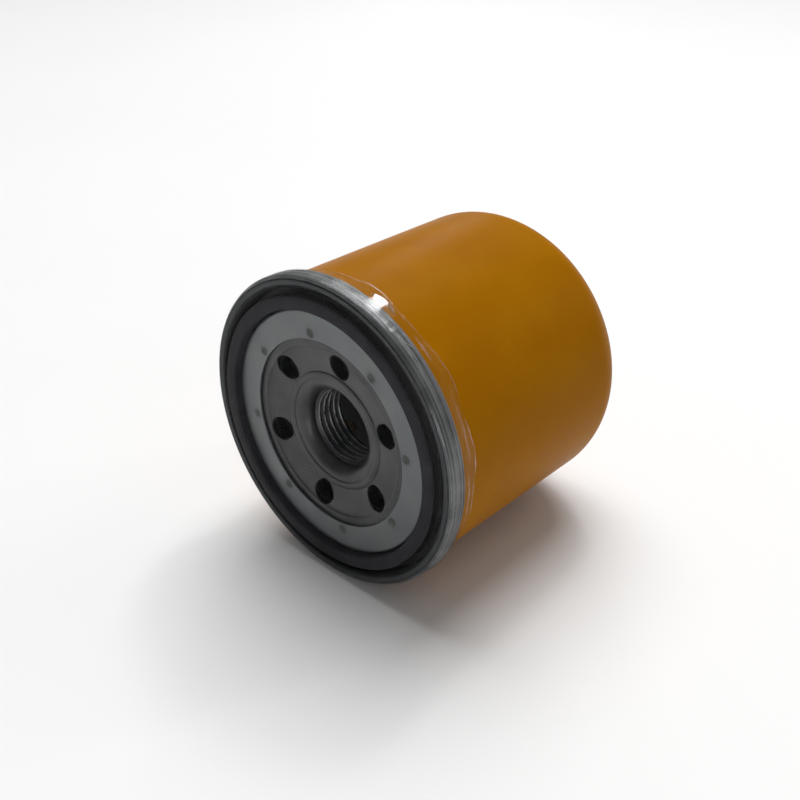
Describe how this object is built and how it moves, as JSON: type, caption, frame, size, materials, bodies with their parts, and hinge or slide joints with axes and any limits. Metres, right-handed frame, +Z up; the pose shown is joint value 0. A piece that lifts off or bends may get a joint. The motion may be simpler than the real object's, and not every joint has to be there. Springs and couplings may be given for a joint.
{
  "type": "spin-on oil filter",
  "caption": "Spin-on oil filter: painted steel can with rolled rim, threaded base plate, rubber gasket, pleated element, valves and a clear film over the open end.",
  "frame": {"origin": "centre of the gasket's sealing face, on the thread's axis", "axes": "+Y runs along the thread's axis from the open end to the can's closed end; +Z is up, with the filter lying on its side; +X is to the right seen from the open end"},
  "size_m": [0.0764, 0.0702, 0.0764],
  "materials": {
    "can_paint": "gloss ochre-yellow enamel on drawn steel, slightly wavy",
    "zinc_sheet": "zinc-plated sheet, soft rolling marks",
    "plate_steel": "bare pressed steel, satin, oil-darkened",
    "gasket_rubber": "smooth moulded nitrile, lightly greased",
    "valve_rubber": "matt moulded nitrile",
    "compound": "dried sealing compound",
    "tinned_sheet": "tinned sheet, bright",
    "tube_steel": "perforated sheet, satin",
    "clip_steel": "crimped strip",
    "filter_paper": "resin-treated cellulose paper, fibrous",
    "adhesive": "cured plastisol",
    "poppet_plastic": "moulded nylon",
    "spring_steel": "drawn spring wire",
    "clear_film": "clear heat-shrunk film, crinkled, slightly hazy"
  },
  "bodies": {
    "housing": {"can": "can_paint", "seaming_lid": "zinc_sheet", "base_plate": "plate_steel", "gasket": "gasket_rubber", "seam_compound": "compound", "lower_end_cap": "tinned_sheet", "lower_adhesive": "adhesive", "pleated_media": "filter_paper", "media_clip": "clip_steel", "centre_tube": "tube_steel", "upper_adhesive": "adhesive", "upper_end_cap": "tinned_sheet", "bypass_seat": "tinned_sheet", "bypass_cage": "tube_steel", "bypass_spring": "spring_steel", "element_spring": "spring_steel"},
    "bypass_valve": {"bypass_poppet": "poppet_plastic", "bypass_seal": "valve_rubber"},
    "anti_drain_lip": {"anti_drain_valve": "valve_rubber"},
    "film": {"shrink_film": "clear_film"}
  },
  "joints": [
    {"name": "bypass_lift", "type": "slide", "parent": "housing", "child": "bypass_valve", "axis": [0, -1, 0], "range_m": [0, 0.003], "stiffness_N_per_m": 900, "springref_m": -0.004, "deforming": ["bypass_spring"]},
    {"name": "anti_drain_lift", "type": "slide", "parent": "housing", "child": "anti_drain_lip", "axis": [0, 1, 0], "range_m": [0, 0.0015], "stiffness_N_per_m": 150, "springref_m": -0.0008, "deforming": ["anti_drain_valve"]},
    {"name": "film_pull_off", "type": "slide", "parent": "housing", "child": "film", "axis": [0, -1, 0], "range_m": [0, 0.03], "deforming": ["shrink_film"]}
  ]
}
